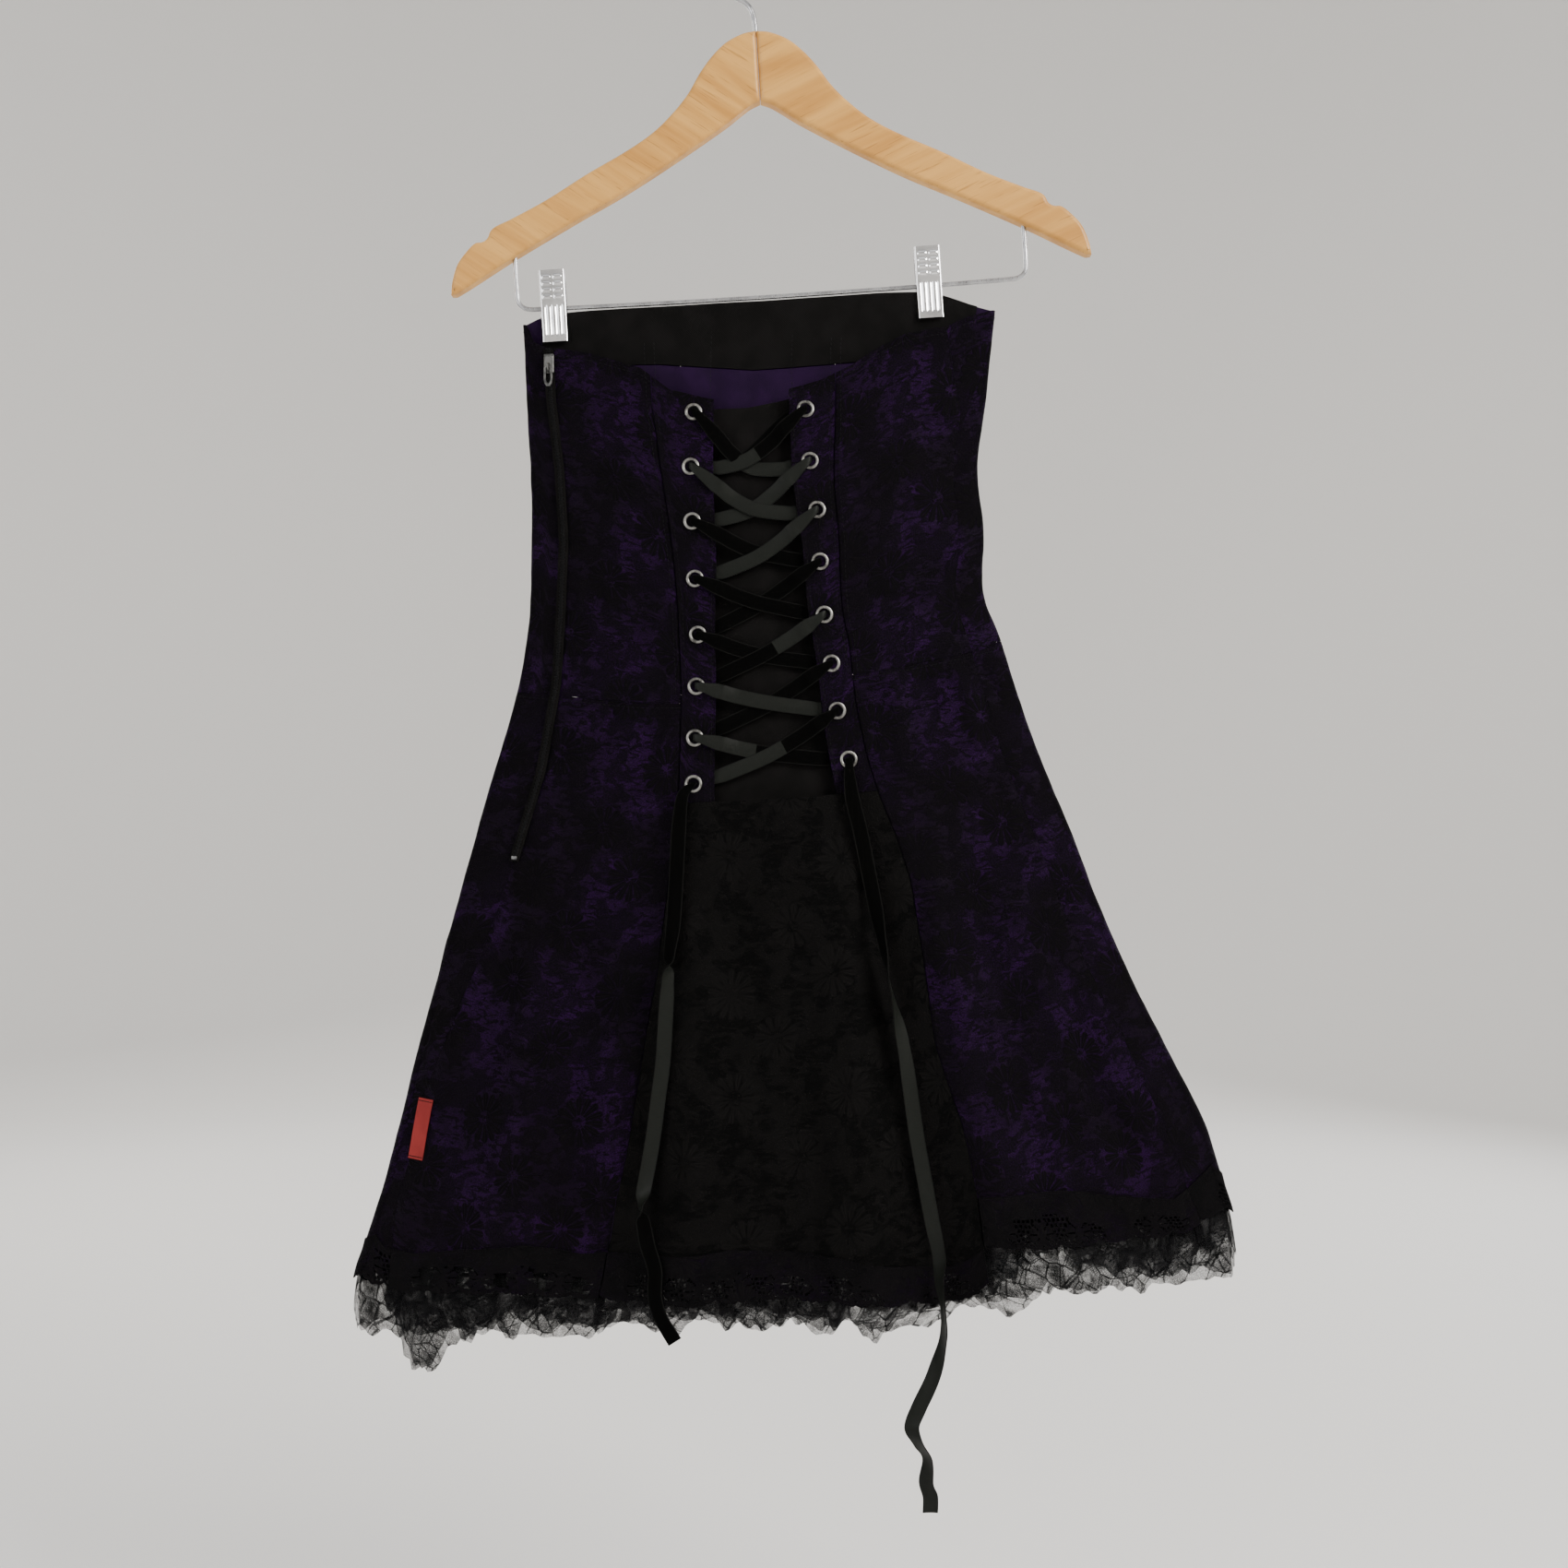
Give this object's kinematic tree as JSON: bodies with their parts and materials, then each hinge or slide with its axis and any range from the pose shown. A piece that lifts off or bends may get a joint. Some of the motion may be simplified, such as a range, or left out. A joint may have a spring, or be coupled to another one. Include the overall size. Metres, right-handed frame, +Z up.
{
  "type": "back-laced strapless mini dress on a wooden clip hanger",
  "caption": "Strapless mini dress of black floral lace over purple cloth, laced up the back with ribbon, tulle hem, hung by clips from a wooden hanger.",
  "frame": {"origin": "Inner top of the hanger's hook, where a rail carries it.", "axes": "+Z is up along the hanging dress, +X is to the right when facing the laced back, and the back faces -Y."},
  "size_m": [0.6122, 0.1278, 1.0735],
  "materials": {
    "lace_over_satin": "black floral lace over satin cloth",
    "black_cloth": "matt woven cloth",
    "lining_cloth": "satin lining",
    "black_lace": "floral lace",
    "black_tulle": "sheer net",
    "eyelet_metal": "dull nickel plate",
    "ribbon": "velvet on one side, satin on the other",
    "zip_metal": "nickel plate",
    "red_tape": "woven tape",
    "varnished_wood": "clear varnish",
    "plated_steel": "bright plate"
  },
  "bodies": {
    "dress": {"bodice_back_left": "lace_over_satin", "bodice_back_right": "lace_over_satin", "placket_left": "lace_over_satin", "placket_right": "lace_over_satin", "bodice_front_left": "lace_over_satin", "bodice_front_centre": "lace_over_satin", "bodice_front_right": "lace_over_satin", "skirt_back_left": "lace_over_satin", "skirt_back_right": "lace_over_satin", "skirt_front_left": "lace_over_satin", "skirt_front_centre": "lace_over_satin", "skirt_front_right": "lace_over_satin", "modesty_panel": "black_cloth", "front_facing": "black_cloth", "zip_tape": "black_cloth", "front_lining": "lining_cloth", "skirt_inset": "black_lace", "hem_lace_back_left": "black_lace", "hem_lace_inset": "black_lace", "hem_lace_back_right": "black_lace", "hem_lace_front_right": "black_lace", "hem_lace_front_centre": "black_lace", "hem_lace_front_left": "black_lace", "tulle_back_left": "black_tulle", "tulle_inset": "black_tulle", "tulle_back_right": "black_tulle", "tulle_front_right": "black_tulle", "tulle_front_centre": "black_tulle", "tulle_front_left": "black_tulle", "eyelet_left_1": "eyelet_metal", "eyelet_left_2": "eyelet_metal", "eyelet_left_3": "eyelet_metal", "eyelet_left_4": "eyelet_metal", "eyelet_left_5": "eyelet_metal", "eyelet_left_6": "eyelet_metal", "eyelet_left_7": "eyelet_metal", "eyelet_left_8": "eyelet_metal", "eyelet_right_1": "eyelet_metal", "eyelet_right_2": "eyelet_metal", "eyelet_right_3": "eyelet_metal", "eyelet_right_4": "eyelet_metal", "eyelet_right_5": "eyelet_metal", "eyelet_right_6": "eyelet_metal", "eyelet_right_7": "eyelet_metal", "eyelet_right_8": "eyelet_metal", "lacing": "ribbon", "tail_left": "ribbon", "tail_right": "ribbon", "zip_slider": "zip_metal", "zip_stop": "zip_metal", "side_label": "red_tape", "hanger_arm_left": "varnished_wood", "hanger_arm_right": "varnished_wood", "hanger_hook": "plated_steel", "hanger_bar": "plated_steel", "clip_left_front": "plated_steel", "clip_left_back": "plated_steel", "clip_right_front": "plated_steel", "clip_right_back": "plated_steel"},
    "zip_pull": {"zip_pull": "zip_metal"}
  },
  "joints": [
    {"name": "zip_pull_swing", "type": "hinge", "parent": "dress", "child": "zip_pull", "pos_m": [-0.13869, -0.01149, -0.30537], "axis": [-0.9972, 0.0742, -0.0095], "range_deg": [0, 120]}
  ]
}
